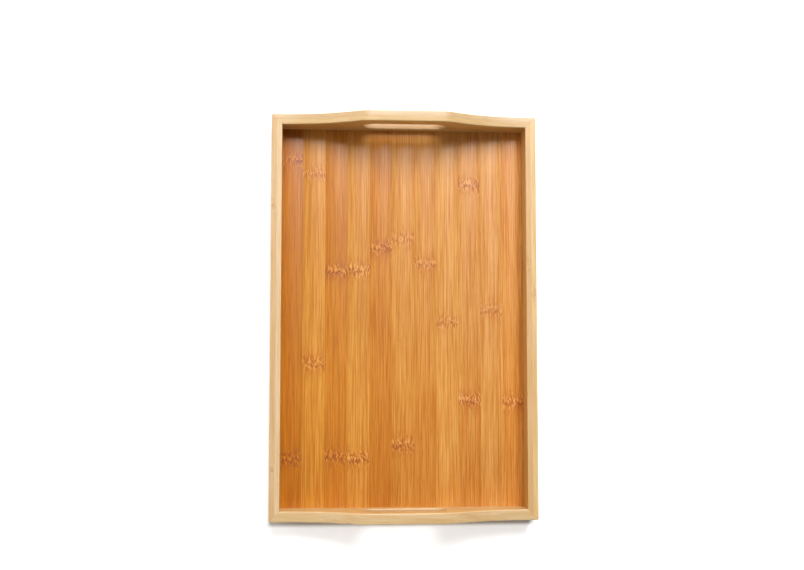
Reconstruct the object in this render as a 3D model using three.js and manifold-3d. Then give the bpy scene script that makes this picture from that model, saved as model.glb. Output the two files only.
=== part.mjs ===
// Serving tray in laminated bamboo, in millimetres, +Z up.
//
// X runs from handle to handle, Y across the tray, and the origin is at the middle of the
// footprint, on the surface that the tray stands on. Four rails meet in mitred corners. Each rail
// is two plies glued face to face. The end rails rise in a swept hump with a hand slot through it.
// The base is a panel of edge-glued strips that run along X, held in a groove round the rails.

import * as THREE from "three";
import { mergeVertices } from "three/addons/utils/BufferGeometryUtils.js";
import Module from "manifold-3d";

const wasm = await Module();
wasm.setup();

// Overall size
const LENGTH = 420;
const WIDTH = 277;
const RIM_HEIGHT = 36;
const HANDLE_HEIGHT = 60;

// Rails
const PLY_THICKNESS = 5.4;
const GLUE_LINE = 0.2;

// Hump of the end rails: a level top, a rounded shoulder and a long hollow sweep to each corner
const HANDLE_FLAT = 72;
const SHOULDER_RADIUS = 32;

// Hand slot: the grip is the material above it, and the sill is the wall between base and slot
const SLOT_LENGTH = 85;
const GRIP_DEPTH = 17.5;
const SLOT_SILL = 9;

// Base panel, set in a groove and raised off the surface that the tray stands on
const PANEL_THICKNESS = 5;
const PANEL_RECESS = 5;
const STRIP_COUNT = 11;
const GROOVE_DEPTH = 2.5;
const GROOVE_END_PLAY = 0.5;
const GROOVE_FACE_PLAY = 0.3;

// Brads across the mitres, driven from the side rails with their heads set below the face
const BRADS_PER_CORNER = 2;
const BRAD_LENGTH = 25;
const BRAD_DIAMETER = 1.4;
const BRAD_HEAD_DIAMETER = 2.4;
const BRAD_HEAD_THICKNESS = 0.8;
const BRAD_POINT_LENGTH = 2.5;
const BRAD_SINK = 1;
const BRAD_HOLE_PLAY = 0.3;

// How finely round shapes are faceted, and how far a cutter runs past what it cuts
const ARC_SEGMENTS = 14;
const BRAD_SEGMENTS = 12;
const CUT_MARGIN = 1;

// Values that follow from the sizes above
const RAIL_THICKNESS = 2 * PLY_THICKNESS + GLUE_LINE;
const INNER_PLY_OFFSET = PLY_THICKNESS + GLUE_LINE;
const INNER_LENGTH = LENGTH - 2 * RAIL_THICKNESS;
const INNER_WIDTH = WIDTH - 2 * RAIL_THICKNESS;
const PANEL_TOP = PANEL_RECESS + PANEL_THICKNESS;
const GROOVE_TOP = PANEL_TOP + GROOVE_FACE_PLAY;

// A brad runs down the middle of the end rail's inner ply, this far in from its outer face
const BRAD_INSET = INNER_PLY_OFFSET + PLY_THICKNESS / 2;

const bambooRail = { color: 0xe6c08c, roughness: 0.45, metalness: 0 };
const bambooBase = { color: 0xc98a48, roughness: 0.4, metalness: 0 };
const steel = { color: 0xb5b8bb, roughness: 0.35, metalness: 0.9 };

function toSolid(geometry) {
  const bare = geometry.clone();
  bare.deleteAttribute("normal");
  bare.deleteAttribute("uv");
  const merged = mergeVertices(bare);
  const vertProperties = new Float32Array(merged.attributes.position.array);
  const triVerts = new Uint32Array(merged.index.array);
  return new wasm.Manifold(new wasm.Mesh({ numProp: 3, vertProperties, triVerts }));
}

function toGeometry(solid) {
  const { vertProperties, triVerts } = solid.getMesh();
  const geometry = new THREE.BufferGeometry();
  geometry.setAttribute("position", new THREE.BufferAttribute(vertProperties, 3));
  geometry.setIndex(new THREE.BufferAttribute(triVerts, 1));
  geometry.computeVertexNormals();
  return geometry;
}

function namedMesh(name, geometry, finish) {
  const mesh = new THREE.Mesh(geometry, new THREE.MeshStandardMaterial(finish));
  mesh.name = name;
  return mesh;
}

// A rail is drawn in its own frame: X along it, Y from its outer face to the inside of the tray,
// and Z up. Its profile is its outline seen from outside the tray.

function sideProfile() {
  const half = LENGTH / 2;
  const shape = new THREE.Shape();
  shape.moveTo(-half, 0);
  shape.lineTo(half, 0);
  shape.lineTo(half, RIM_HEIGHT);
  shape.lineTo(-half, RIM_HEIGHT);
  shape.closePath();
  return shape;
}

// The shoulder and the sweep are two arcs that are tangent to each other, to the level top and to
// the rim, so both turn through the same angle and their radii add up to a fixed sum.
function endProfile() {
  const half = WIDTH / 2;
  const sweepStart = INNER_WIDTH / 2;
  const topEnd = HANDLE_FLAT / 2;
  const rise = HANDLE_HEIGHT - RIM_HEIGHT;
  const run = sweepStart - topEnd;
  const turn = 2 * Math.atan(rise / run);
  const sweepRadius = run / Math.sin(turn) - SHOULDER_RADIUS;
  const sweepCentre = RIM_HEIGHT + sweepRadius;
  const shoulderCentre = HANDLE_HEIGHT - SHOULDER_RADIUS;
  const up = Math.PI / 2;
  const down = -Math.PI / 2;
  const shape = new THREE.Shape();
  shape.moveTo(-half, 0);
  shape.lineTo(half, 0);
  shape.lineTo(half, RIM_HEIGHT);
  shape.absarc(sweepStart, sweepCentre, sweepRadius, down, down - turn, true);
  shape.absarc(topEnd, shoulderCentre, SHOULDER_RADIUS, up - turn, up, false);
  shape.absarc(-topEnd, shoulderCentre, SHOULDER_RADIUS, up, up + turn, false);
  shape.absarc(-sweepStart, sweepCentre, sweepRadius, down + turn, down, true);
  shape.lineTo(-half, RIM_HEIGHT);
  shape.closePath();
  shape.holes.push(handSlot());
  return shape;
}

function handSlot() {
  const bottom = PANEL_TOP + SLOT_SILL;
  const top = HANDLE_HEIGHT - GRIP_DEPTH;
  const radius = (top - bottom) / 2;
  const endCentre = SLOT_LENGTH / 2 - radius;
  const middle = (top + bottom) / 2;
  const slot = new THREE.Path();
  slot.absarc(endCentre, middle, radius, -Math.PI / 2, Math.PI / 2, false);
  slot.absarc(-endCentre, middle, radius, Math.PI / 2, (3 * Math.PI) / 2, false);
  slot.closePath();
  return slot;
}

// The profile as a ply that lies between two depths behind the rail's outer face
function plyBlank(profile, depth) {
  const options = { depth: PLY_THICKNESS, bevelEnabled: false, curveSegments: ARC_SEGMENTS };
  const geometry = new THREE.ExtrudeGeometry(profile, options);
  geometry.rotateX(Math.PI / 2);
  geometry.translate(0, depth + PLY_THICKNESS, 0);
  return toSolid(geometry);
}

// All that lies between the two mitre planes of a rail, less half a glue line at each
function mitreWedge(railLength) {
  const setBack = GLUE_LINE / Math.SQRT2;
  const near = -CUT_MARGIN;
  const far = RAIL_THICKNESS + CUT_MARGIN;
  const reach = (depth) => railLength / 2 - depth - setBack;
  const plan = new THREE.Shape();
  plan.moveTo(-reach(near), near);
  plan.lineTo(reach(near), near);
  plan.lineTo(reach(far), far);
  plan.lineTo(-reach(far), far);
  plan.closePath();
  const options = { depth: HANDLE_HEIGHT + 2 * CUT_MARGIN, bevelEnabled: false };
  const geometry = new THREE.ExtrudeGeometry(plan, options);
  geometry.translate(0, 0, -CUT_MARGIN);
  return toSolid(geometry);
}

function panelGroove(railLength) {
  const height = PANEL_THICKNESS + 2 * GROOVE_FACE_PLAY;
  const geometry = new THREE.BoxGeometry(railLength, GROOVE_DEPTH + CUT_MARGIN, height);
  const middleDepth = RAIL_THICKNESS + (CUT_MARGIN - GROOVE_DEPTH) / 2;
  geometry.translate(0, middleDepth, PANEL_RECESS + PANEL_THICKNESS / 2);
  return toSolid(geometry);
}

// A rail's brads: which end they are at, and their heights, which share the wall evenly between
// the groove and the rim
function bradSpots() {
  const spots = [];
  for (const side of [-1, 1]) {
    for (let number = 1; number <= BRADS_PER_CORNER; number += 1) {
      const share = (number - 0.5) / BRADS_PER_CORNER;
      const height = GROOVE_TOP + share * (RIM_HEIGHT - GROOVE_TOP);
      spots.push({ side, number, height });
    }
  }
  return spots;
}

// A brad's hole with the pocket over its head, along +Y from just outside the face
function bradCutter() {
  const shankRadius = BRAD_DIAMETER / 2 + BRAD_HOLE_PLAY;
  const headRadius = BRAD_HEAD_DIAMETER / 2 + BRAD_HOLE_PLAY;
  const headBottom = BRAD_SINK + BRAD_HEAD_THICKNESS + BRAD_HOLE_PLAY;
  const holeBottom = BRAD_SINK + BRAD_LENGTH + BRAD_HOLE_PLAY;
  const outline = [
    new THREE.Vector2(0, -CUT_MARGIN),
    new THREE.Vector2(headRadius, -CUT_MARGIN),
    new THREE.Vector2(headRadius, headBottom),
    new THREE.Vector2(shankRadius, headBottom),
    new THREE.Vector2(shankRadius, holeBottom),
    new THREE.Vector2(0, holeBottom),
  ];
  return new THREE.LatheGeometry(outline, BRAD_SEGMENTS);
}

// The holes as a side rail meets them, from its outer face inwards
function sideBradHoles() {
  return bradSpots().map(({ side, height }) => {
    const geometry = bradCutter();
    geometry.translate(side * (LENGTH / 2 - BRAD_INSET), 0, height);
    return toSolid(geometry);
  });
}

// The same holes as an end rail meets them, from its mitred ends along its inner ply
function endBradHoles() {
  return bradSpots().map(({ side, height }) => {
    const geometry = bradCutter();
    geometry.rotateZ((side * Math.PI) / 2);
    geometry.translate((side * WIDTH) / 2, BRAD_INSET, height);
    return toSolid(geometry);
  });
}

// One rail: an outer and an inner ply between mitres, grooved for the base and drilled for brads
function makeRail(name, profile, railLength, bradHoles) {
  const rail = new THREE.Group();
  const wedge = mitreWedge(railLength);
  const groove = panelGroove(railLength);
  const plies = [
    { name: `${name}_outer_ply`, depth: 0, cutters: bradHoles },
    { name: `${name}_inner_ply`, depth: INNER_PLY_OFFSET, cutters: [groove, ...bradHoles] },
  ];
  for (const ply of plies) {
    let solid = plyBlank(profile, ply.depth).intersect(wedge);
    for (const cutter of ply.cutters) {
      solid = solid.subtract(cutter);
    }
    rail.add(namedMesh(ply.name, toGeometry(solid), bambooRail));
  }
  return rail;
}

// A brad along +Y, its head at the origin
function bradGeometry() {
  const shank = BRAD_DIAMETER / 2;
  const head = BRAD_HEAD_DIAMETER / 2;
  const outline = [
    new THREE.Vector2(0, 0),
    new THREE.Vector2(head, 0),
    new THREE.Vector2(head, BRAD_HEAD_THICKNESS),
    new THREE.Vector2(shank, BRAD_HEAD_THICKNESS),
    new THREE.Vector2(shank, BRAD_LENGTH - BRAD_POINT_LENGTH),
    new THREE.Vector2(0, BRAD_LENGTH),
  ];
  return toGeometry(toSolid(new THREE.LatheGeometry(outline, BRAD_SEGMENTS)));
}

// endNames are the ends that the rail's own -X and +X point to
function addBrads(rail, railName, endNames) {
  for (const { side, number, height } of bradSpots()) {
    const endName = side < 0 ? endNames[0] : endNames[1];
    const brad = namedMesh(`brad_${railName}_${endName}_${number}`, bradGeometry(), steel);
    brad.position.set(side * (LENGTH / 2 - BRAD_INSET), BRAD_SINK, height);
    rail.add(brad);
  }
}

// The base: strips of equal width with a glue line between them, their ends in the end grooves
function makeBase() {
  const base = new THREE.Group();
  const tongue = GROOVE_DEPTH - GROOVE_END_PLAY;
  const panelLength = INNER_LENGTH + 2 * tongue;
  const panelWidth = INNER_WIDTH + 2 * tongue;
  const pitch = (panelWidth + GLUE_LINE) / STRIP_COUNT;
  for (let i = 0; i < STRIP_COUNT; i += 1) {
    const number = String(i + 1).padStart(2, "0");
    const geometry = new THREE.BoxGeometry(panelLength, pitch - GLUE_LINE, PANEL_THICKNESS);
    const strip = namedMesh(`base_strip_${number}`, geometry, bambooBase);
    const offset = (i - (STRIP_COUNT - 1) / 2) * pitch;
    strip.position.set(0, offset, PANEL_RECESS + PANEL_THICKNESS / 2);
    base.add(strip);
  }
  return base;
}

function placed(group, x, y, turn) {
  group.position.set(x, y, 0);
  group.rotation.z = turn;
  return group;
}

const frontRail = makeRail("front_rail", sideProfile(), LENGTH, sideBradHoles());
const backRail = makeRail("back_rail", sideProfile(), LENGTH, sideBradHoles());
const leftEnd = makeRail("left_end", endProfile(), WIDTH, endBradHoles());
const rightEnd = makeRail("right_end", endProfile(), WIDTH, endBradHoles());
addBrads(frontRail, "front", ["left", "right"]);
addBrads(backRail, "back", ["right", "left"]);

const tray = new THREE.Group();
tray.add(placed(frontRail, 0, -WIDTH / 2, 0));
tray.add(placed(backRail, 0, WIDTH / 2, Math.PI));
tray.add(placed(leftEnd, -LENGTH / 2, 0, -Math.PI / 2));
tray.add(placed(rightEnd, LENGTH / 2, 0, Math.PI / 2));
tray.add(makeBase());

export default tray;
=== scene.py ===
# Looks of the bamboo serving tray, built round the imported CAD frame. Metres, in the frame's own axes.
import math

import bmesh
import bpy
from mathutils import Matrix, Vector


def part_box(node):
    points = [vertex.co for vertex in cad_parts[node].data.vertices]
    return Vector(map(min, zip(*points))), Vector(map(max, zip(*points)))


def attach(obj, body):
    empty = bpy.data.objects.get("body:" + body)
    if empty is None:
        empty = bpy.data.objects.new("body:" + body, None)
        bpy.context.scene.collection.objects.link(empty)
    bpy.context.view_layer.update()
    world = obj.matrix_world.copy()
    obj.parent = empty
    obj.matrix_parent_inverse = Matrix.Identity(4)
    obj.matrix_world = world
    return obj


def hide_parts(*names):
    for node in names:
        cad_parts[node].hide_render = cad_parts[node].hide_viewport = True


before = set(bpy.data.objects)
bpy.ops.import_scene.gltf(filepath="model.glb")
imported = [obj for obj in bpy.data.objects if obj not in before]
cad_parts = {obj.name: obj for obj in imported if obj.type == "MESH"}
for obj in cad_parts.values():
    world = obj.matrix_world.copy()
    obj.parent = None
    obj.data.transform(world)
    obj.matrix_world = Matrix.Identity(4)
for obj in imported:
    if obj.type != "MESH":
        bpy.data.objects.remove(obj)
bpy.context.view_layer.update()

BODY = "root"
MM = 0.001

# Sizes read off the frame.
RAIL_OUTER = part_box("back_rail_outer_ply")
RAIL_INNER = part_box("back_rail_inner_ply")
END_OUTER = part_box("right_end_outer_ply")
END_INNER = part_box("right_end_inner_ply")
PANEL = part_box("base_strip_01")
OUT_X = END_OUTER[1].x
OUT_Y = RAIL_OUTER[1].y
IN_X = END_INNER[0].x
IN_Y = RAIL_INNER[0].y
RIM_TOP = RAIL_OUTER[1].z
HANDLE_TOP = END_OUTER[1].z
GLUE_DEPTH = OUT_Y - (RAIL_OUTER[0].y + RAIL_INNER[1].y) / 2
STRIP_COUNT = sum(name.startswith("base_strip_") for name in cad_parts)

# The hump's and the slot's own sizes, as in the CAD part.
HANDLE_FLAT = 72 * MM
SHOULDER_RADIUS = 32 * MM
SLOT_LENGTH = 85 * MM
SLOT_BOTTOM = 19 * MM
SLOT_TOP = HANDLE_TOP - 17.5 * MM
SLOT_RADIUS = (SLOT_TOP - SLOT_BOTTOM) / 2
SLOT_MIDDLE = (SLOT_TOP + SLOT_BOTTOM) / 2

# Radii of the eased edges.
RIM_EASE = 1.1 * MM
CORNER_EASE = 1.4 * MM
SLOT_EASE = 1.6 * MM
FOOT_EASE = 0.7 * MM
STRIP_EASE = 0.03 * MM

# Hairlines between glued plies and between strips, and the groove's room round the base.
HAIRLINE = 0.07 * MM
SEAM = 0.012 * MM
GROOVE_PLAY = 0.12 * MM
GROOVE_DEPTH = PANEL[1].x - IN_X + 0.4 * MM

# The brads' holes: radii round the head and the shank, the head's depth, and the room past the tip.
BRAD_HEAD_ROOM = 1.45 * MM
BRAD_SHANK_ROOM = 0.76 * MM
BRAD_HEAD_DEPTH = 0.85 * MM
BRAD_END_ROOM = 0.1 * MM

# How finely round shapes are drawn.
EASE_STEPS = 5
CORNER_STEPS = 6
ARC_STEPS = 16
SLOT_STEPS = 10
BRAD_STEPS = 24
STRIP_BAYS = 24
STRIP_CORNER_STEPS = 3
CLOSEST_STATIONS = 0.1 * MM
SHARP_ANGLE = math.radians(32)
TINY = 1e-7


# ---------------------------------------------------------------- shapes

def rim_height(y):
    """Height of an end rail's top at y: the rim, a hollow arc up into a round shoulder, the handle's flat."""
    run = IN_Y - HANDLE_FLAT / 2
    turn = 2 * math.atan2(HANDLE_TOP - RIM_TOP, run)
    sweep_radius = run / math.sin(turn) - SHOULDER_RADIUS
    from_handle = abs(y) - HANDLE_FLAT / 2
    if from_handle <= 0:
        return HANDLE_TOP
    if from_handle <= SHOULDER_RADIUS * math.sin(turn):
        return HANDLE_TOP - SHOULDER_RADIUS + math.sqrt(SHOULDER_RADIUS**2 - from_handle**2)
    if from_handle < run:
        return RIM_TOP + sweep_radius - math.sqrt(sweep_radius**2 - (run - from_handle) ** 2)
    return RIM_TOP


def slot_half_height(y, radius):
    """Half the height of the round-ended slot at y, for that end radius. None beyond its ends."""
    past_straight = abs(y) - (SLOT_LENGTH / 2 - SLOT_RADIUS)
    if past_straight > radius + TINY:
        return None
    return math.sqrt(max(0.0, radius**2 - max(0.0, past_straight) ** 2))


def end_stations():
    """Places in y at which an end rail is drawn: along the hump's arcs and the slot's round ends."""
    run = IN_Y - HANDLE_FLAT / 2
    turn = 2 * math.atan2(HANDLE_TOP - RIM_TOP, run)
    shoulder_run = SHOULDER_RADIUS * math.sin(turn)
    places = {HANDLE_FLAT / 2, SLOT_LENGTH / 2 - SLOT_RADIUS}
    for step in range(1, ARC_STEPS + 1):
        share = step / ARC_STEPS
        places.add(HANDLE_FLAT / 2 + SHOULDER_RADIUS * math.sin(turn * share))
        places.add(HANDLE_FLAT / 2 + shoulder_run + (run - shoulder_run) * share)
    for step in range(1, SLOT_STEPS + 1):
        angle = math.pi / 2 * step / SLOT_STEPS
        reach = (SLOT_RADIUS + SLOT_EASE) * math.sin(angle)
        places.add(SLOT_LENGTH / 2 - SLOT_RADIUS + reach)
    half = []
    for place in sorted(places):
        at_slot_end = half and place > SLOT_LENGTH / 2 + SLOT_EASE - TINY > half[-1]
        if not half or place - half[-1] > CLOSEST_STATIONS or at_slot_end:
            half.append(place)
    return [-place for place in reversed(half)] + half


def quarter_round(radius, steps):
    """Points round an eased edge, wall to top: (distance in from the wall, distance down from the top)."""
    angles = [math.pi / 2 * step / steps for step in range(steps + 1)]
    return [(radius * (1 - math.cos(angle)), radius * (1 - math.sin(angle))) for angle in angles]


def frame_section(height):
    """One upright section of the rails, a closed loop of (side, distance in from its wall, z, wear)."""
    groove_low = PANEL[0].z - GROOVE_PLAY
    groove_high = PANEL[1].z + GROOVE_PLAY
    foot = quarter_round(FOOT_EASE, EASE_STEPS)
    rim = quarter_round(RIM_EASE, EASE_STEPS)
    loop = [("out", inset, drop, 0.0) for inset, drop in reversed(foot)]
    wears = [math.sin(math.pi * step / EASE_STEPS) for step in range(EASE_STEPS + 1)]
    loop += [("out", inset, height - drop, wear) for (inset, drop), wear in zip(rim, wears)]
    loop += [("in", inset, height - drop, wear) for (inset, drop), wear in zip(reversed(rim), wears)]
    loop += [("in", 0.0, groove_high, 0.0), ("in", GROOVE_DEPTH, groove_high, 0.0)]
    loop += [("in", GROOVE_DEPTH, groove_low, 0.0), ("in", 0.0, groove_low, 0.0)]
    loop += [("in", inset, drop, 0.0) for inset, drop in foot]
    return loop


# Where the section's loop starts up the outer wall, and where it starts down the inner one.
OUTER_WALL = EASE_STEPS
INNER_WALL = 3 * EASE_STEPS + 2


def frame_stations():
    """Stops round the frame: (outer point, its normal, inner point, its way into the wood, y on an end)."""
    stops = []
    ends = end_stations()
    for turn in range(4):
        way = Matrix.Rotation(math.pi / 2 * turn, 2)
        along_end = turn % 2 == 0
        out = Vector((OUT_X, OUT_Y) if along_end else (OUT_Y, OUT_X))
        inner = Vector((IN_X, IN_Y) if along_end else (IN_Y, IN_X))
        if along_end:
            for place in ends:
                y = place if turn == 0 else -place
                stops.append((way @ Vector((out.x, place)), way @ Vector((1, 0)),
                              way @ Vector((inner.x, place)), way @ Vector((1, 0)), y))
        centre = out - Vector((CORNER_EASE, CORNER_EASE))
        for step in range(CORNER_STEPS + 1):
            angle = math.pi / 2 * step / CORNER_STEPS
            normal = Vector((math.cos(angle), math.sin(angle)))
            stops.append((way @ (centre + normal * CORNER_EASE), way @ normal,
                          way @ inner, way @ Vector((1, 1)), None))
    return stops


def slot_ring(bm, wear, slot_shade, wall, into, places):
    """Rounds the slot's edge in from one wall: rings from the wall to the tunnel, as (upper, lower) rows."""
    rings = []
    straight = SLOT_LENGTH / 2 - SLOT_RADIUS
    for step in range(EASE_STEPS + 1):
        angle = math.pi / 2 * step / EASE_STEPS
        out = SLOT_EASE * (1 - math.sin(angle))
        depth = SLOT_EASE * (1 - math.cos(angle))
        rows = ([], [])
        for y in places:
            wide = slot_half_height(y, SLOT_RADIUS + SLOT_EASE)
            past = math.copysign(max(0.0, abs(y) - straight), y)
            shrink = (SLOT_RADIUS + out) / (SLOT_RADIUS + SLOT_EASE)
            near = y - past + past * shrink
            for row, side in zip(rows, (1, -1)):
                if wide < TINY and side < 0:
                    row.append(rows[0][-1])
                    continue
                vert = bm.verts.new((wall + into * depth, near, SLOT_MIDDLE + side * wide * shrink))
                vert[wear] = math.sin(2 * angle)
                # How far into the tunnel the corner lies: the weight of the shade painted there.
                vert[slot_shade] = math.sin(angle)
                row.append(vert)
        rings.append(rows)
    return rings


def row_faces(bm, first, second):
    """Joins two rows of corners by a strip of faces, leaving out corners that fall together."""
    for index in range(len(first) - 1):
        corners = [first[index], first[index + 1], second[index + 1], second[index]]
        kept = [corner for place, corner in enumerate(corners) if corner not in corners[:place]]
        if len(kept) > 2:
            bm.faces.new(kept)


def slot_tunnel(bm, wear, slot_shade, side, ends):
    """Cuts one end rail's hand slot: returns its rings on the outer and inner wall, keyed by y."""
    places = [y for y in ends if slot_half_height(y, SLOT_RADIUS + SLOT_EASE) is not None]
    outer = slot_ring(bm, wear, slot_shade, side * OUT_X, -side, places)
    inner = slot_ring(bm, wear, slot_shade, side * IN_X, side, places)
    path = outer + list(reversed(inner))
    for near, far in zip(path, path[1:]):
        for row in range(2):
            row_faces(bm, near[row], far[row])
    keyed = []
    for rings in (outer, inner):
        upper, lower = rings[0]
        keyed.append({round(y / TINY): pair for y, pair in zip(places, zip(upper, lower))})
    return keyed


def wall_faces(bm, low, high, ring, places):
    """Fills one bay of a wall between two stations, above and below the slot where the slot crosses it."""
    crossing = [ring.get(round(y / TINY)) if y is not None else None for y in places]
    if crossing[0] and crossing[1]:
        bm.faces.new((high[0], high[1], crossing[1][0], crossing[0][0]))
        bm.faces.new((crossing[0][1], crossing[1][1], low[1], low[0]))
    elif crossing[0]:
        bm.faces.new((high[0], high[1], low[1], low[0], crossing[0][0]))
    elif crossing[1]:
        bm.faces.new((high[0], high[1], crossing[1][0], low[1], low[0]))
    else:
        bm.faces.new((high[0], high[1], low[1], low[0]))


def whole_frame():
    """The four rails as one closed body with eased edges, both slots and the base's groove."""
    bm = bmesh.new()
    wear = bm.verts.layers.float.new("wear")
    # Each corner's share of the shade painted into the slot's tunnel.
    slot_shade = bm.verts.layers.float.new("slot_shade")
    ends = end_stations()
    slots = {side: slot_tunnel(bm, wear, slot_shade, side, ends) for side in (1, -1)}
    columns = []
    stops = frame_stations()
    for out, normal, inner, into, y in stops:
        height = RIM_TOP if y is None else rim_height(y)
        column = []
        for side, inset, z, worn in frame_section(height):
            point = out - normal * inset if side == "out" else inner + into * inset
            vert = bm.verts.new((point.x, point.y, z))
            vert[wear] = worn
            column.append(vert)
        columns.append(column)
    count = len(frame_section(RIM_TOP))
    for index, stop in enumerate(stops):
        after = (index + 1) % len(stops)
        here, there = columns[index], columns[after]
        outer_slot, inner_slot = slots[1 if stop[0].x > 0 else -1]
        places = (stop[4], stops[after][4])
        for corner in range(count):
            above = (corner + 1) % count
            if corner == OUTER_WALL:
                low, high = (here[corner], there[corner]), (here[above], there[above])
                wall_faces(bm, low, high, outer_slot, places)
            elif corner == INNER_WALL:
                low, high = (here[above], there[above]), (here[corner], there[corner])
                wall_faces(bm, low, high, inner_slot, places)
            else:
                bm.faces.new((here[corner], there[corner], there[above], here[above]))
    bmesh.ops.remove_doubles(bm, verts=bm.verts[:], dist=TINY)
    bmesh.ops.recalc_face_normals(bm, faces=bm.faces[:])
    return bm


def cut_away(bm, point, normal):
    """Cuts off what lies past a plane and closes the cut, holes and all."""
    everything = bm.verts[:] + bm.edges[:] + bm.faces[:]
    cut = bmesh.ops.bisect_plane(
        bm, geom=everything, dist=TINY, plane_co=point, plane_no=normal, clear_outer=True)
    rim = [item for item in cut["geom_cut"] if isinstance(item, bmesh.types.BMEdge)]
    bmesh.ops.triangle_fill(bm, use_beauty=True, use_dissolve=False, edges=rim, normal=normal)


def ply_planes(rail, layer):
    """Planes that part one ply from the rest: two mitres and the glue line, each as (point, way out)."""
    ways = {"right_end": (1, 0), "back_rail": (0, 1), "left_end": (-1, 0), "front_rail": (0, -1)}
    out = Vector(ways[rail])
    side = Vector((-out.y, out.x))
    planes = []
    for hand in (1, -1):
        normal = (side * hand - out).normalized()
        corner = Vector((abs(out.x + side.x) * IN_X, abs(out.y + side.y) * IN_Y))
        signs = out + side * hand
        point = Vector((math.copysign(corner.x, signs.x), math.copysign(corner.y, signs.y)))
        planes.append((point - normal * HAIRLINE / 2, normal))
    reach = (OUT_X if out.x else OUT_Y) - GLUE_DEPTH
    if layer == "outer":
        planes.append((out * (reach + HAIRLINE / 2), -out))
    else:
        planes.append((out * (reach - HAIRLINE / 2), out))
    return [(point.to_3d(), normal.to_3d()) for point, normal in planes]


def brad_holes():
    """A solid for each brad's hole: a wide mouth for the sunk head, then a close hole for the shank."""
    bm = bmesh.new()
    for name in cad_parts:
        if not name.startswith("brad_"):
            continue
        low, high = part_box(name)
        side = 1 if "back" in name else -1
        head = high.y if side > 0 else low.y
        tip = low.y if side > 0 else high.y
        middle = Vector(((low.x + high.x) / 2, 0, (low.z + high.z) / 2))
        head_end = head - side * BRAD_HEAD_DEPTH
        stops = [(side * (OUT_Y + MM), BRAD_HEAD_ROOM), (head_end, BRAD_HEAD_ROOM),
                 (head_end, BRAD_SHANK_ROOM), (tip - side * BRAD_END_ROOM, BRAD_SHANK_ROOM)]
        rings = []
        for y, radius in stops:
            ring = []
            for step in range(BRAD_STEPS):
                angle = math.tau * step / BRAD_STEPS
                around = Vector((radius * math.cos(angle), y, radius * math.sin(angle)))
                ring.append(bm.verts.new(middle + around))
            rings.append(ring)
        for near, far in zip(rings, rings[1:]):
            row_faces(bm, near + near[:1], far + far[:1])
        bm.faces.new(rings[0])
        bm.faces.new(rings[-1])
    bmesh.ops.recalc_face_normals(bm, faces=bm.faces[:])
    mesh = bpy.data.meshes.new("brad_holes")
    bm.to_mesh(mesh)
    bm.free()
    holes = bpy.data.objects.new("brad_holes", mesh)
    bpy.context.scene.collection.objects.link(holes)
    return holes


def finished_piece(name, bm, material):
    """Makes the object, with smooth faces up to its true edges, and gives it its material."""
    mesh = bpy.data.meshes.new(name)
    bm.to_mesh(mesh)
    bm.free()
    mesh.shade_smooth()
    mesh.set_sharp_from_angle(angle=SHARP_ANGLE)
    piece = bpy.data.objects.new(name, mesh)
    bpy.context.scene.collection.objects.link(piece)
    piece.data.materials.append(material)
    return piece


def drill(piece, holes):
    """Takes the brads' holes out of a ply and keeps the result as the ply's own mesh."""
    cutter = piece.modifiers.new("holes", "BOOLEAN")
    cutter.operation = "DIFFERENCE"
    cutter.solver = "EXACT"
    cutter.object = holes
    result = bpy.data.meshes.new_from_object(piece.evaluated_get(bpy.context.evaluated_depsgraph_get()))
    piece.modifiers.clear()
    old = piece.data
    piece.data = result
    result.name = old.name
    bpy.data.meshes.remove(old)
    result.set_sharp_from_angle(angle=SHARP_ANGLE)


def strip_mesh(low, high):
    """One base strip: a long bar with eased long edges, in bays along its length."""
    bm = bmesh.new()
    bm.verts.layers.float.new("wear")
    front, back = low.y + STRIP_EASE, high.y - STRIP_EASE
    bottom, top = low.z + STRIP_EASE, high.z - STRIP_EASE
    section = []
    for turn, (y, z) in enumerate(((back, top), (front, top), (front, bottom), (back, bottom))):
        for step in range(STRIP_CORNER_STEPS):
            angle = math.pi / 2 * (turn + step / (STRIP_CORNER_STEPS - 1))
            section.append((y + math.cos(angle) * STRIP_EASE, z + math.sin(angle) * STRIP_EASE))
    rings = []
    for bay in range(STRIP_BAYS + 1):
        x = low.x + (high.x - low.x) * bay / STRIP_BAYS
        rings.append([bm.verts.new((x, y, z)) for y, z in section])
    for near, far in zip(rings, rings[1:]):
        row_faces(bm, near + near[:1], far + far[:1])
    bm.faces.new(rings[0])
    bm.faces.new(rings[-1])
    bmesh.ops.recalc_face_normals(bm, faces=bm.faces[:])
    return bm


# ---------------------------------------------------------------- materials

# Sizes of the noises in the bamboo: (length along the grain, width across it).
PATCH = (110 * MM, 16 * MM)
STREAK = (160 * MM, 3.4 * MM)
FIBRE = (60 * MM, 0.95 * MM)
THREAD = (24 * MM, 0.48 * MM)
SCUFF = (12 * MM, 4 * MM)
SWIRL = (8 * MM, 2.4 * MM)
KNOT_DRIFT = (50 * MM, 6 * MM)
KNOT_WAVER = (30 * MM, 1.5 * MM)
FLAME = (5.2 * MM, 1.1 * MM)
FLECK = (4 * MM, 1.1 * MM)

# On a ply's upright face a fibre is this many times taller than it is thick.
PLY_GRAIN_HEIGHT = 6.0

# How far the noises push things: a knot's line, its scallops, and the fibres that bend round it.
DRIFT_SWING = 7 * MM
WAVER_SWING = 14 * MM
SWIRL_SWING = 3.6 * MM
FLAME_BEND = 0.6

# A knot's marks, measured from its line: where its two rows of arcs lie, and over what distances each fades.
DARK_ARC_PLACE = 1.4 * MM
PALE_ARC_PLACE = 0.8 * MM
HALO_FADE = (5 * MM, 20 * MM)
BAND_FADE = (3 * MM, 9 * MM)
DARK_ARC_FADE = (0.4 * MM, 2.2 * MM)
PALE_ARC_FADE = (0.3 * MM, 1.4 * MM)

# Levels of a noise between which patches turn from dark to light, and scuffs from little rubbed to much.
PATCH_LEVELS = (0.3, 0.7)
SCUFF_LEVELS = (0.40, 0.62)
RUBBING = (0.10, 0.45)

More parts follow.
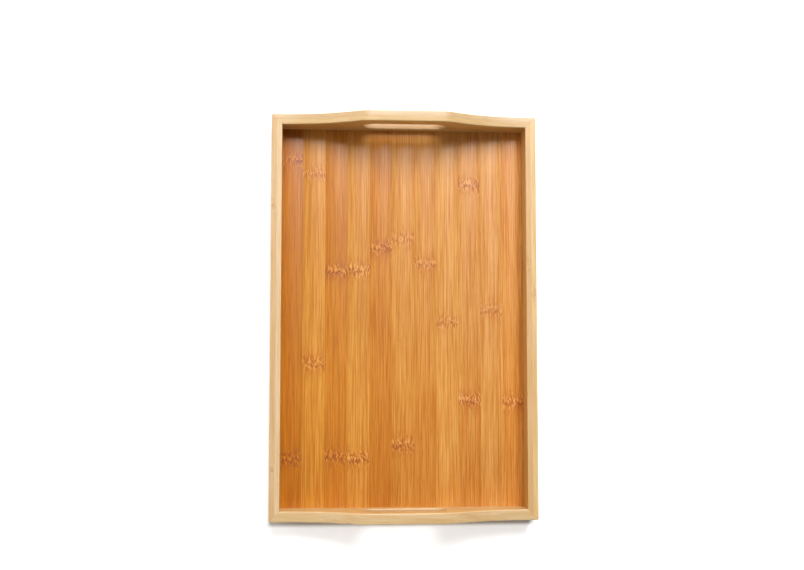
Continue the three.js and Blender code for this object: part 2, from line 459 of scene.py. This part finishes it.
# Factors on a bamboo's own tone, channel by channel.
DARK_PATCH = (0.96, 0.93, 0.86)
LIGHT_PATCH = (1.04, 1.07, 1.14)
RUBBED_EDGE = (1.10, 1.18, 1.30)
FLAME_GAIN = 1.06
ARC_GAIN = 1.12

# Factors on the warmer tone of a bamboo's dark fibres.
DARK_STREAK = (1.0, 1.0, 1.0)
DARK_FIBRE = (0.86, 0.74, 0.50)
DARK_THREAD = (0.70, 0.56, 0.40)
KNOT_DUSK = (0.88, 0.76, 0.60)
KNOT_BURN = (0.74, 0.54, 0.30)
KNOT_SPOT = (0.57, 0.38, 0.20)

# Tone along a strip: it reddens from one place to the other, partly its own tone and partly painted shade,
# and a painted pool of light makes it palest about a third place.
BLUSH_AND_SHADE_START = 30 * MM
BLUSH_AND_SHADE_FULL = -170 * MM
BLUSH_AND_SHADE_TONE = (0.72, 0.50, 0.0)
PAINTED_LIGHT_PLACE = -93 * MM
PAINTED_LIGHT_FADE = (15 * MM, 95 * MM)
PAINTED_LIGHT_GAIN = (1.075, 1.095, 1.09)

# The painted shade in the tunnel of a hand slot, and how squarely a point must face out to count as a ply's
# broad face.
SLOT_SHADE_TONE = (0.85, 0.73, 0.67)
FACE_TURN = (0.75, 0.98)

# Relief of the grain, and the lacquer over it.
THREAD_HEIGHT = 0.5
KNOT_HEIGHT = 1.2
GRAIN_BUMP = 0.25
GRAIN_RELIEF = 0.06 * MM
FIBRE_GLOSS = 0.12
KNOT_GLOSS = 0.06
RUB_GLOSS = 0.12
LACQUER = {
    "IOR": 1.5,
    "Specular IOR Level": 0.55,
    "Coat Weight": 0.1,
    "Coat Roughness": 0.28,
    "Coat IOR": 1.5,
}

# Shifts that give each seed its own part of a noise, one for each axis.
SEED_SHIFTS = (7.31, 3.77, 5.13)


class Shading:
    """A material's nodes, added and linked one call at a time."""

    def __init__(self, name):
        self.material = bpy.data.materials.new(name)
        self.material.use_nodes = True
        self.nodes = self.material.node_tree.nodes
        self.links = self.material.node_tree.links
        self.shader = self.nodes["Principled BSDF"]

    def feed(self, socket, value):
        if isinstance(value, bpy.types.NodeSocket):
            self.links.new(value, socket)
        else:
            socket.default_value = value

    def math(self, operation, *values):
        node = self.nodes.new("ShaderNodeMath")
        node.operation = operation
        for socket, value in zip(node.inputs, values):
            self.feed(socket, value)
        return node.outputs[0]

    def vector_math(self, operation, *values):
        node = self.nodes.new("ShaderNodeVectorMath")
        node.operation = operation
        for socket, value in zip(node.inputs, values):
            self.feed(socket, value)
        return node.outputs["Value" if operation == "LENGTH" else "Vector"]

    def combine(self, x, y, z):
        node = self.nodes.new("ShaderNodeCombineXYZ")
        for socket, value in zip(node.inputs, (x, y, z)):
            self.feed(socket, value)
        return node.outputs[0]

    def split(self, vector):
        node = self.nodes.new("ShaderNodeSeparateXYZ")
        self.feed(node.inputs[0], vector)
        return tuple(node.outputs)

    def noise(self, vector, detail=3.0, roughness=0.55, distortion=0.0):
        node = self.nodes.new("ShaderNodeTexNoise")
        self.feed(node.inputs["Vector"], vector)
        node.inputs["Scale"].default_value = 1.0
        node.inputs["Detail"].default_value = detail
        node.inputs["Roughness"].default_value = roughness
        node.inputs["Distortion"].default_value = distortion
        return node.outputs["Fac"]

    def swing(self, noise, width):
        """Turns a noise into a swing of that width, half to each side."""
        return self.math("MULTIPLY_ADD", noise, width, -width / 2)

    def fade(self, value, start, end, low=0.0, high=1.0):
        """A smooth step from low to high as value goes from start to end."""
        node = self.nodes.new("ShaderNodeMapRange")
        node.interpolation_type = "SMOOTHSTEP"
        for socket, number in zip(node.inputs, (value, start, end, low, high)):
            self.feed(socket, number)
        return node.outputs[0]

    def mix(self, share, first, second, blend="MIX"):
        """Blends two colours, which are the node's inputs 6 and 7, into its colour output 2."""
        node = self.nodes.new("ShaderNodeMix")
        node.data_type = "RGBA"
        node.blend_type = blend
        node.clamp_factor = True
        self.feed(node.inputs["Factor"], share)
        self.feed(node.inputs[6], first)
        self.feed(node.inputs[7], second)
        return node.outputs[2]

    def place(self):
        return self.nodes.new("ShaderNodeTexCoord").outputs["Object"]

    def attribute(self, name):
        node = self.nodes.new("ShaderNodeAttribute")
        node.attribute_name = name
        return node.outputs["Fac"]

    def bump(self, height, strength, distance):
        node = self.nodes.new("ShaderNodeBump")
        node.inputs["Strength"].default_value = strength
        node.inputs["Distance"].default_value = distance
        self.feed(node.inputs["Height"], height)
        return node.outputs["Normal"]

    def surface(self, color, gloss, normal):
        self.feed(self.shader.inputs["Base Color"], color)
        self.feed(self.shader.inputs["Roughness"], gloss)
        self.feed(self.shader.inputs["Normal"], normal)


def opaque(color):
    """A colour with its alpha."""
    return (*color, 1.0)


def tint(color, factor):
    """A colour made lighter or darker, channel by channel."""
    return opaque(channel * scale for channel, scale in zip(color, factor))


def brighter(color, gain):
    """A colour with every channel scaled alike."""
    return tuple(gain * channel for channel in color)


def grain_axes(shade, along):
    """Coordinates with the grain first: (along the grain, across it, across it the other way)."""
    x, y, z = shade.split(shade.place())
    return (x, y, z) if along == "x" else (y, x, z)


def stretched(shade, axes, size, seed, upward=1.0):
    """A noise vector with features of that (length along the grain, width across it), taller by upward."""
    lengthwise, crosswise = size
    scales = (1 / lengthwise, 1 / crosswise, 1 / (crosswise * upward))
    return shade.combine(*[shade.math("MULTIPLY_ADD", axis, scale, seed * shift)
                           for axis, scale, shift in zip(axes, scales, SEED_SHIFTS)])


def knot_masks(shade, axes, knots, seed):
    """The knots across the grain: (halo of bent fibres, the knot's band, dark arcs, pale arcs, waver)."""
    ragged = shade.noise(stretched(shade, axes, KNOT_DRIFT, seed + 41.0), detail=1.0)
    scallop = shade.noise(stretched(shade, axes, KNOT_WAVER, seed + 47.0), detail=1.0)
    drift = shade.swing(ragged, DRIFT_SWING)
    waver = shade.swing(scallop, WAVER_SWING)
    masks = [0.0, 0.0, 0.0, 0.0]
    for place, strength in knots:
        away = shade.math("ADD", shade.math("SUBTRACT", axes[0], place), drift)
        near = shade.math("ABSOLUTE", away)
        arc = shade.math("ADD", away, waver)
        below = shade.math("ABSOLUTE", shade.math("ADD", arc, DARK_ARC_PLACE))
        above = shade.math("ABSOLUTE", shade.math("SUBTRACT", arc, PALE_ARC_PLACE))
        marks = ((near, HALO_FADE), (near, BAND_FADE), (below, DARK_ARC_FADE), (above, PALE_ARC_FADE))
        for index, (distance, levels) in enumerate(marks):
            mark = shade.fade(distance, *levels, 1.0, 0.0)
            masks[index] = shade.math("MULTIPLY_ADD", mark, strength, masks[index])
    return (*masks, waver)


def bent_axes(shade, axes, halo, seed):
    """The grain's coordinates with its fibres bent near the knots."""
    u, v, w = axes
    swirl = shade.noise(stretched(shade, axes, SWIRL, seed + 17.0), detail=1.0)
    push = shade.math("MULTIPLY", shade.swing(swirl, SWIRL_SWING), halo)
    return (u, shade.math("ADD", v, push), w)


def grain_color(shade, patch, streak, fibre, thread, tone, warm, pale, contrast):
    """A mottled ground with darker streaks, paler and darker fibres, and dark threads over it."""
    color = shade.mix(shade.fade(patch, *PATCH_LEVELS), tint(tone, DARK_PATCH), tint(tone, LIGHT_PATCH))
    # Each layer: (noise, level at which it starts to show, level at which it is strongest, strength, colour).
    layers = (
        (streak, 0.56, 0.34, 0.36, tint(warm, DARK_STREAK)),
        (fibre, 0.47, 0.66, 0.62, tint(tone, pale)),
        (fibre, 0.53, 0.34, 0.64, tint(warm, DARK_FIBRE)),
        (thread, 0.47, 0.33, 0.50, tint(warm, DARK_THREAD)),
    )
    for noise, start, end, strength, paint in layers:
        share = shade.math("MULTIPLY", shade.fade(noise, start, end), strength * contrast)
        color = shade.mix(share, color, paint)
    return color


def knot_color(shade, color, axes, masks, tone, warm, pale, seed):
    """Paints the knots over the grain. Returns the colour, and the flames' noise for their relief."""
    halo, band, dark, light, waver = masks
    u, v, w = axes
    bent = (shade.math("ADD", u, shade.math("MULTIPLY", waver, FLAME_BEND)), v, w)
    flame = shade.noise(stretched(shade, bent, FLAME, seed + 5.0), detail=1.0, distortion=0.4)
    fleck = shade.noise(stretched(shade, bent, FLECK, seed + 6.0), detail=1.0)
    # Each layer: (mask, noise, level at which it is weakest, level at which it is strongest,
    # least and most share, colour).
    layers = (
        (halo, flame, 0.56, 0.40, 0.04, 0.60, tint(warm, KNOT_DUSK)),
        (band, flame, 0.52, 0.40, 0.06, 0.78, tint(warm, KNOT_BURN)),
        (band, flame, 0.53, 0.63, 0.0, 0.80, tint(tone, brighter(pale, FLAME_GAIN))),
        (dark, fleck, 0.56, 0.42, 0.05, 0.85, tint(warm, KNOT_SPOT)),
        (light, fleck, 0.46, 0.58, 0.0, 0.90, tint(tone, brighter(pale, ARC_GAIN))),
    )
    for mask, noise, start, end, least, most, paint in layers:
        share = shade.math("MULTIPLY", mask, shade.fade(noise, start, end, least, most))
        color = shade.mix(share, color, paint)
    return color, flame


def strip_tone_and_painted_light(shade, color, u, blush_and_shade):
    """Tone along a strip: redder towards its -X end, partly its own tone and partly painted shade, and a
    painted pool of light between there and the middle.
    """
    # The reddening towards the -X end is partly painted shade.
    low_end = shade.fade(u, BLUSH_AND_SHADE_START, BLUSH_AND_SHADE_FULL, 0.0, blush_and_shade)
    color = shade.mix(low_end, color, opaque(BLUSH_AND_SHADE_TONE), "MULTIPLY")
    # A pool of light is painted here, palest about one place along the strip.
    from_painted_light = shade.math("ABSOLUTE", shade.math("SUBTRACT", u, PAINTED_LIGHT_PLACE))
    painted_light = shade.fade(from_painted_light, *PAINTED_LIGHT_FADE, 1.0, 0.0)
    return shade.mix(painted_light, color, opaque(PAINTED_LIGHT_GAIN), "MULTIPLY")


def ply_tone_and_painted_light(shade, color, along, face_tone_and_light):
    """Tones a ply's broad upright face, as against its cut edge and eased corner, a tone that on inner faces
    is partly painted light, and paints shade into its slot's tunnel.
    """
    x, y, z = shade.split(shade.nodes.new("ShaderNodeNewGeometry").outputs["Normal"])
    through = y if along == "x" else x
    flat = shade.fade(shade.math("ABSOLUTE", through), *FACE_TURN)
    color = shade.mix(flat, color, opaque(face_tone_and_light), "MULTIPLY")
    # Shade is painted into the slot's tunnel.
    return shade.mix(shade.attribute("slot_shade"), color, opaque(SLOT_SHADE_TONE), "MULTIPLY")


def bamboo(name, along, tone, warm, pale, seed, knots=(), contrast=1.0, roughness=0.34,
           blush_and_shade=0.0, face_tone_and_light=None):
    """Lacquered bamboo: fibres of differing tone along the grain, scalloped knots, edges rubbed paler, and
    painted light and shade where asked.
    """
    shade = Shading(name)
    axes = grain_axes(shade, along)
    if knots:
        masks = knot_masks(shade, axes, knots, seed)
        axes = bent_axes(shade, axes, masks[0], seed)
    upward = 1.0 if face_tone_and_light is None else PLY_GRAIN_HEIGHT
    patch = shade.noise(stretched(shade, axes, PATCH, seed + 3.0), detail=2.0)
    streak = shade.noise(stretched(shade, axes, STREAK, seed, upward), detail=2.0, roughness=0.5)
    fibre = shade.noise(stretched(shade, axes, FIBRE, seed + 1.0, upward))
    thread = shade.noise(stretched(shade, axes, THREAD, seed + 2.0, upward), detail=2.0, roughness=0.6)

    color = grain_color(shade, patch, streak, fibre, thread, tone, warm, pale, contrast)
    height = shade.math("ADD", fibre, shade.math("MULTIPLY", thread, THREAD_HEIGHT))
    gloss = shade.math("ADD", shade.swing(fibre, FIBRE_GLOSS), roughness)
    if knots:
        band = masks[1]
        color, flame = knot_color(shade, color, axes, masks, tone, warm, pale, seed)
        height = shade.math("MULTIPLY_ADD", shade.math("MULTIPLY", band, flame), KNOT_HEIGHT, height)
        gloss = shade.math("MULTIPLY_ADD", band, KNOT_GLOSS, gloss)
    if blush_and_shade:
        color = strip_tone_and_painted_light(shade, color, axes[0], blush_and_shade)
    # The broad faces' tone, partly painted light, and the slot's painted shade.
    if face_tone_and_light is not None:
        color = ply_tone_and_painted_light(shade, color, along, face_tone_and_light)

    scuff = shade.noise(stretched(shade, axes, SCUFF, seed + 8.0))
    rub = shade.math("MULTIPLY", shade.attribute("wear"), shade.fade(scuff, *SCUFF_LEVELS, *RUBBING))
    color = shade.mix(rub, color, tint(tone, RUBBED_EDGE))
    gloss = shade.math("MULTIPLY_ADD", rub, RUB_GLOSS, gloss)
    shade.surface(color, gloss, shade.bump(height, GRAIN_BUMP, GRAIN_RELIEF))
    for socket, value in LACQUER.items():
        shade.shader.inputs[socket].default_value = value
    return shade.material


# The brads' drawn marks and tarnish, and their colours.
DRAWN_MARKS = (6 * MM, 0.1 * MM)
TARNISH_SPOTS = (1 * MM, 0.8 * MM)
STEEL = (0.50, 0.50, 0.51)
BRIGHT_STEEL = (0.62, 0.62, 0.64)
TARNISH = (0.30, 0.27, 0.24)
STEEL_BUMP = 0.2
STEEL_RELIEF = 0.02 * MM

# Levels of a noise between which tarnish and bright marks show, how much of the marks does, and the gloss.
TARNISH_LEVELS = (0.45, 0.70)
DRAWN_LEVELS = (0.4, 0.6)
DRAWN_SHARE = (0.0, 0.3)
CLEAN_ROUGHNESS = 0.20
TARNISH_ROUGHNESS = 0.30


def brad_steel(name):
    """Bright drawn steel: fine lengthwise marks, a little tarnish, sharper gloss where it is clean."""
    shade = Shading(name)
    axes = grain_axes(shade, "y")
    drawn = shade.noise(stretched(shade, axes, DRAWN_MARKS, 3.0), detail=2.0)
    tarnish = shade.noise(stretched(shade, axes, TARNISH_SPOTS, 4.0))
    color = shade.mix(shade.fade(tarnish, *TARNISH_LEVELS), opaque(STEEL), opaque(TARNISH))
    color = shade.mix(shade.fade(drawn, *DRAWN_LEVELS, *DRAWN_SHARE), color, opaque(BRIGHT_STEEL))
    gloss = shade.math("MULTIPLY_ADD", tarnish, TARNISH_ROUGHNESS, CLEAN_ROUGHNESS)
    shade.surface(color, gloss, shade.bump(drawn, STEEL_BUMP, STEEL_RELIEF))
    shade.shader.inputs["Metallic"].default_value = 1.0
    return shade.material


# ---------------------------------------------------------------- the tray

# Tones of the plies, as linear colours, then the tone of their dark fibres and the factor of their pale ones.
PALE = (0.60, 0.405, 0.200)
DULL = (0.54, 0.362, 0.183)
CREAM = (0.63, 0.440, 0.235)
PINK = (0.57, 0.365, 0.178)
ROSE = (0.58, 0.350, 0.150)
GOLD = (0.64, 0.425, 0.188)
STRAW = (0.60, 0.410, 0.195)
PLY_WARM = (0.50, 0.295, 0.115)
PLY_LIGHT = (1.12, 1.20, 1.38)
PLY_CONTRAST = 0.45
PLY_ROUGHNESS = 0.44

# Factors that turn a ply's tone into that of its broad face. The inner faces' deeper orange is partly their
# own tone and partly painted bounce light from the base; the pale inner face is painted key light, on the
# face towards the key.
INNER_FACE_AND_BOUNCE = (0.97, 0.83, 0.51)
OUTER_FACE = (0.86, 0.77, 0.56)
KEY_LIT_INNER_FACE = (0.94, 0.86, 0.66)

# The plies: (tone, axis of the grain, seed, broad face's tone with its painted light,
# knots as (place along the grain, strength)).
PLIES = {
    "back_rail_outer": (PINK, "x", 1.0, OUTER_FACE, ((0.114, 0.4), (-0.155, 0.4))),
    "back_rail_inner": (CREAM, "x", 2.0, INNER_FACE_AND_BOUNCE, ()),
    "front_rail_outer": (GOLD, "x", 3.0, OUTER_FACE, ((0.0226, 0.4),)),
    "front_rail_inner": (ROSE, "x", 4.0, INNER_FACE_AND_BOUNCE, ((0.0545, 0.4),)),
    "right_end_outer": (DULL, "y", 5.0, OUTER_FACE, ()),
    "right_end_inner": (STRAW, "y", 6.0, INNER_FACE_AND_BOUNCE, ()),
    "left_end_outer": (STRAW, "y", 7.0, OUTER_FACE, ()),
    # This inner face looks towards the key: its paler face is painted key light.
    "left_end_inner": (PALE, "y", 8.0, KEY_LIT_INNER_FACE, ()),
}
UNDRILLED = ("left_end_outer", "right_end_outer")

# The strips' common tone, that of their dark fibres, and the factor of their pale ones.
BASE_TONE = (0.575, 0.230, 0.026)
BASE_WARM = (0.49, 0.156, 0.012)
BASE_LIGHT = (1.17, 1.32, 2.40)
BASE_SEED = 20.0

# The strips, from the front rail to the back rail: (lightness, yellowness, paleness, reddening towards the
# -X end that is partly painted shade, knots as (place along x, strength)).
STRIPS = [
    (1.02, 1.06, 1.50, 0.22, ((-0.0898, 0.9),)),
    (1.03, 1.15, 2.05, 0.22, ((0.0076, 0.55),)),
    (1.01, 1.10, 1.80, 0.45, ((0.1416, 1.0), (-0.0876, 1.1))),
    (1.04, 1.14, 1.80, 0.08, ((-0.0053, 0.7),)),
    (0.99, 1.05, 1.40, 0.43, ((0.0563, 0.75),)),
    (1.00, 1.08, 1.45, 0.36, ((0.0828, 0.7), (-0.1344, 1.1))),
    (0.91, 0.92, 0.72, 0.40, ((0.0730, 1.1),)),
    (0.98, 1.07, 1.15, 0.08, ((0.0495, 1.1), (-0.1487, 1.1))),
    (0.87, 0.86, 0.40, 0.24, ((0.0483, 1.2), (-0.1465, 1.2))),
    (0.98, 1.05, 0.85, 0.20, ((0.1525, 0.8), (-0.0487, 0.9))),
    (0.82, 0.80, 0.12, 0.05, ((0.1662, 1.2), (-0.1483, 1.2))),
]


def build_rails():
    """The eight plies, cut from one frame so that their eased edges run on from piece to piece."""
    body = whole_frame()
    holes = brad_holes()
    for key, (tone, along, seed, face_tone_and_light, knots) in PLIES.items():
        rail, layer = key.rsplit("_", 1)
        bm = body.copy()
        for point, normal in ply_planes(rail, layer):
            cut_away(bm, point, normal)
        node = f"{key}_ply"
        material = bamboo(f"bamboo_{key}", along, tone, PLY_WARM, PLY_LIGHT, seed, knots,
                          contrast=PLY_CONTRAST, roughness=PLY_ROUGHNESS, face_tone_and_light=face_tone_and_light)
        piece = finished_piece(f"look_{node}", bm, material)
        if key not in UNDRILLED:
            drill(piece, holes)
        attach(piece, BODY)
        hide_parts(node)
    body.free()
    bpy.data.meshes.remove(holes.data)


def build_base():
    """The strips of the base, edge to edge with a hairline between them."""
    boxes = [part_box(f"base_strip_{number:02d}") for number in range(1, STRIP_COUNT + 1)]
    low_all = min(low.y for low, high in boxes)
    high_all = max(high.y for low, high in boxes)
    pitch = (high_all - low_all) / STRIP_COUNT
    for number, (light, yellow, paleness, blush_and_shade, knots) in enumerate(STRIPS, start=1):
        node = f"base_strip_{number:02d}"
        low, high = boxes[number - 1]
        low.y = low_all + pitch * (number - 1) + SEAM / 2
        high.y = low_all + pitch * number - SEAM / 2
        tone = tuple(channel * light * scale for channel, scale in zip(BASE_TONE, (1.0, yellow, paleness)))
        warm = brighter(BASE_WARM, light)
        material = bamboo(f"bamboo_{node}", "x", tone, warm, BASE_LIGHT, BASE_SEED + number, knots,
                          blush_and_shade=blush_and_shade)
        piece = finished_piece(f"look_{node}", strip_mesh(low, high), material)
        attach(piece, BODY)
        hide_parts(node)


def finish_brads():
    """The CAD brads stay as they are, in steel."""
    steel = brad_steel("brad_steel")
    for name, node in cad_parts.items():
        if name.startswith("brad_"):
            node.data.materials.clear()
            node.data.materials.append(steel)


# ---------------------------------------------------------------- studio

# The floor glows, except in the tray's contact shadow: how far that runs out on the side away from the key,
# how soon the glow starts on the other sides, and how much of it shows there.
SHADOW_START = 6 * MM
SHADOW_END = 11.5 * MM
LIT_MARGIN = 3 * MM
LIT_SHARE = 0.65

# Ranges of distance from the tray's middle: where the glow comes in on every side, and where it grows.
OPEN_FLOOR = (0.35, 1.20)
GLOW_REACH = (0.8, 3.6)

# The glow at the start and at the end of that growth.
GLOW = (0.56, 0.82)

# The floor's half width, its squares along a side, its mottle's scale and two tones, and its dullness.
FLOOR_HALF = 6.0
FLOOR_SQUARES = 8
FLOOR_MOTTLE = 3.0
FLOOR_TONES = ((0.90, 0.90, 0.90), (0.92, 0.92, 0.92))
FLOOR_ROUGHNESS = 0.9
FLOOR_SPECULAR = 0.1
WHITE = (1.0, 1.0, 1.0)

# Square soft lights: (name, place, target, side, power).
SOFTBOXES = (
    ("key", (1.75, -0.31, 2.30), (0.10, 0.0, 0.0), 1.68, 98.0),
    ("side", (0.25, 1.35, 1.20), (0.0, 0.0, 0.0), 0.8, 8.0),
    ("window", (1.43, -0.49, 2.47), (0.10, -0.05, 0.0), 1.04, 18.0),
)

# The studio's light as a smooth step between two heights of the direction, from the lower to the upper.
STUDIO_HEIGHTS = (0.10, 0.58)
STUDIO_LIGHT = (0.96, 0.09)

CAMERA_PLACE = (-0.0527, 0.0841, 1.1872)
CAMERA_TARGET = (0.0338, 0.0010, 0.0100)


def clear_of_tray(shade, place, reach):
    """None under the tray and in its contact shadow on the side away from the key, one on the open floor."""
    x, y, z = shade.split(place)
    shaded_side = shade.fade(x, -OUT_X - SHADOW_START, -OUT_X - SHADOW_END)
    lit_side = shade.fade(x, OUT_X, OUT_X + LIT_MARGIN, 0.0, LIT_SHARE)
    flank = shade.fade(shade.math("ABSOLUTE", y), OUT_Y, OUT_Y + LIT_MARGIN, 0.0, LIT_SHARE)
    far = shade.fade(reach, *OPEN_FLOOR)
    near = shade.math("MAXIMUM", shaded_side, shade.math("MAXIMUM", lit_side, flank))
    return shade.math("MAXIMUM", near, far)


def build_floor():
    """A wide plain sheet, near white and faintly glowing, with the faintest mottle."""
    bm = bmesh.new()
    bmesh.ops.create_grid(bm, x_segments=FLOOR_SQUARES, y_segments=FLOOR_SQUARES, size=FLOOR_HALF)
    shade = Shading("studio_floor")
    place = shade.place()
    mottle = shade.noise(shade.vector_math("MULTIPLY", place, (FLOOR_MOTTLE,) * 3), detail=2.0)
    darker, lighter = FLOOR_TONES
    shade.feed(shade.shader.inputs["Base Color"], shade.mix(mottle, opaque(darker), opaque(lighter)))
    shade.shader.inputs["Roughness"].default_value = FLOOR_ROUGHNESS
    shade.shader.inputs["Specular IOR Level"].default_value = FLOOR_SPECULAR
    shade.shader.inputs["Emission Color"].default_value = opaque(WHITE)
    reach = shade.vector_math("LENGTH", place)
    glow = shade.fade(reach, *GLOW_REACH, *GLOW)
    share = clear_of_tray(shade, place, reach)
    shade.feed(shade.shader.inputs["Emission Strength"], shade.math("MULTIPLY", share, glow))
    finished_piece("floor", bm, shade.material)


def aim(thing, place, target, up):
    """Puts a camera or light at place, pointing its -Z at target, with up towards its +Y."""
    back = (Vector(place) - Vector(target)).normalized()
    top = (Vector(up) - back * back.dot(Vector(up))).normalized()
    right = top.cross(back)
    turn = Matrix((right, top, back)).transposed().to_4x4()
    thing.matrix_world = Matrix.Translation(Vector(place)) @ turn


def softbox(name, place, target, size, power):
    """A square soft light."""
    light = bpy.data.lights.new(name, "AREA")
    light.shape = "SQUARE"
    light.size = size
    light.energy = power
    lamp = bpy.data.objects.new(name, light)
    bpy.context.scene.collection.objects.link(lamp)
    aim(lamp, place, target, (0, 0, 1))


def build_light():
    """A large soft key beyond the tray's +X end, two weaker lights, and a studio paler near the horizon."""
    for name, place, target, size, power in SOFTBOXES:
        softbox(name, place, target, size, power)
    world = bpy.data.worlds.new("studio")
    world.use_nodes = True
    nodes = world.node_tree.nodes
    links = world.node_tree.links
    split = nodes.new("ShaderNodeSeparateXYZ")
    links.new(nodes.new("ShaderNodeTexCoord").outputs["Generated"], split.inputs[0])
    height = nodes.new("ShaderNodeMapRange")
    height.interpolation_type = "SMOOTHSTEP"
    for socket, number in zip(list(height.inputs)[1:5], STUDIO_HEIGHTS + STUDIO_LIGHT):
        socket.default_value = number
    links.new(split.outputs["Z"], height.inputs["Value"])
    background = nodes["Background"]
    background.inputs["Color"].default_value = opaque(WHITE)
    links.new(height.outputs[0], background.inputs["Strength"])
    bpy.context.scene.world = world


def build_camera():
    """A 50 mm lens almost straight above, with +X up in the picture."""
    lens = bpy.data.cameras.new("camera")
    lens.lens = 50
    lens.sensor_width = 36
    lens.clip_end = 50
    camera = bpy.data.objects.new("camera", lens)
    bpy.context.scene.collection.objects.link(camera)
    aim(camera, CAMERA_PLACE, CAMERA_TARGET, (1, 0, 0))
    bpy.context.scene.camera = camera
    bpy.context.scene.view_settings.view_transform = "Standard"


build_rails()
build_base()
finish_brads()
build_floor()
build_light()
build_camera()
